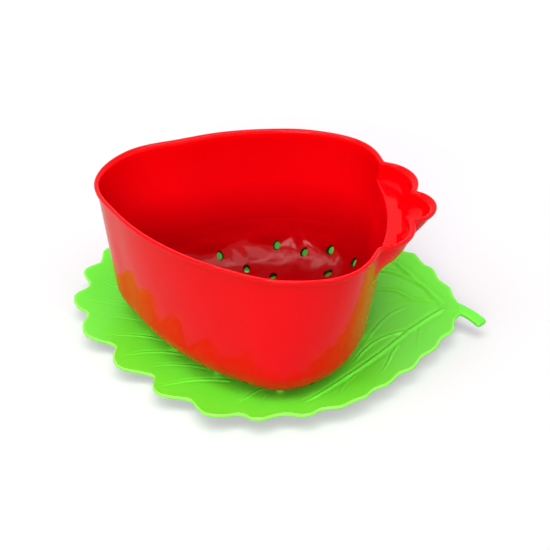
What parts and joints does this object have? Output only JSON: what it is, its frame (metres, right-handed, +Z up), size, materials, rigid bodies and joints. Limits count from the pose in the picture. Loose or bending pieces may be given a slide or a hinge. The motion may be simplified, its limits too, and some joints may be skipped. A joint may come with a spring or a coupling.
{
  "type": "colander with drip tray",
  "caption": "Strawberry-shaped plastic colander with a lobed handle and seed-shaped drain holes, standing in a leaf-shaped drip tray with a toothed edge and a stem.",
  "frame": {"origin": "middle of the tray's flat underside, on the table", "axes": "+X along the leaf from its tip to its stem, +Z up"},
  "size_m": [0.2573, 0.2088, 0.098],
  "materials": {
    "bowl_plastic": "glossy red moulded plastic",
    "leaf_plastic": "satin bright green moulded plastic"
  },
  "bodies": {
    "tray": {"leaf_tray": "leaf_plastic"},
    "bowl": {"colander": "bowl_plastic"}
  },
  "joints": [
    {"name": "colander_lift", "type": "slide", "parent": "tray", "child": "bowl", "axis": [0, 0, 1], "range_m": [0, 0.12]}
  ]
}
